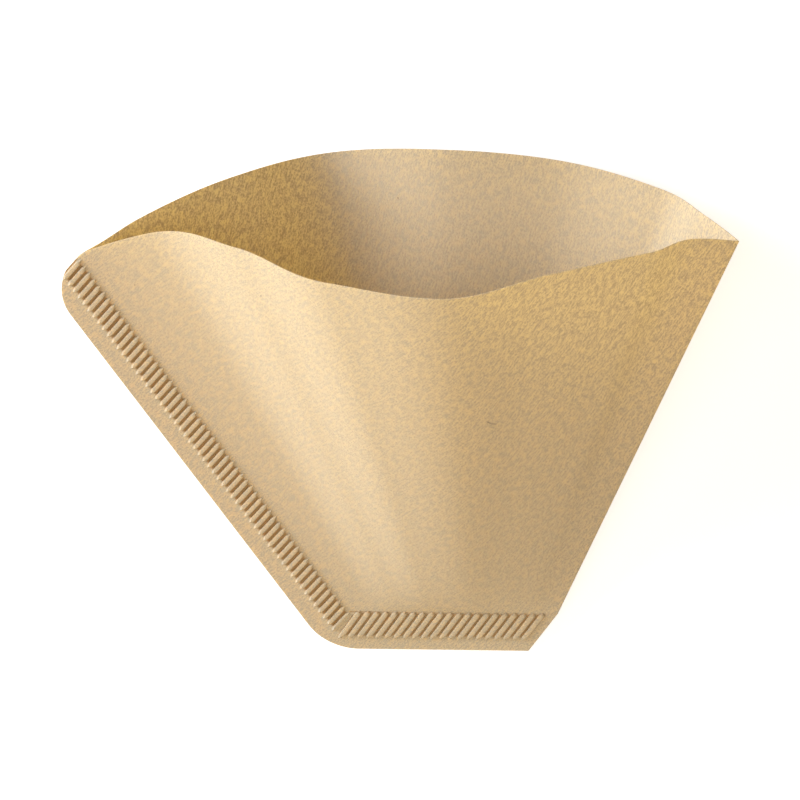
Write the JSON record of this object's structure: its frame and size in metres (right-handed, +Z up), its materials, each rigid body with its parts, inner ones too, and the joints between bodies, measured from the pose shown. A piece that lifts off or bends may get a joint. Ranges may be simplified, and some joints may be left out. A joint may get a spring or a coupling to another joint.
{
  "type": "paper coffee filter",
  "caption": "Wedge-shaped paper filter, opened and lying on its back: one folded sheet, crimped together along one side and the bottom with embossed ribs, with an arched mouth.",
  "frame": {"origin": "centre of the bounding box, on the surface the filter lies on", "axes": "+X from the crimped seam to the fold, +Y from the crimped bottom to the mouth, +Z up from the back panel to the front panel"},
  "size_m": [0.1612, 0.1262, 0.0744],
  "materials": {
    "paper": "unbleached light brown filter paper, matt, softly mottled, lets light through"
  },
  "bodies": {
    "root": {"filter_paper": "paper"}
  },
  "joints": []
}
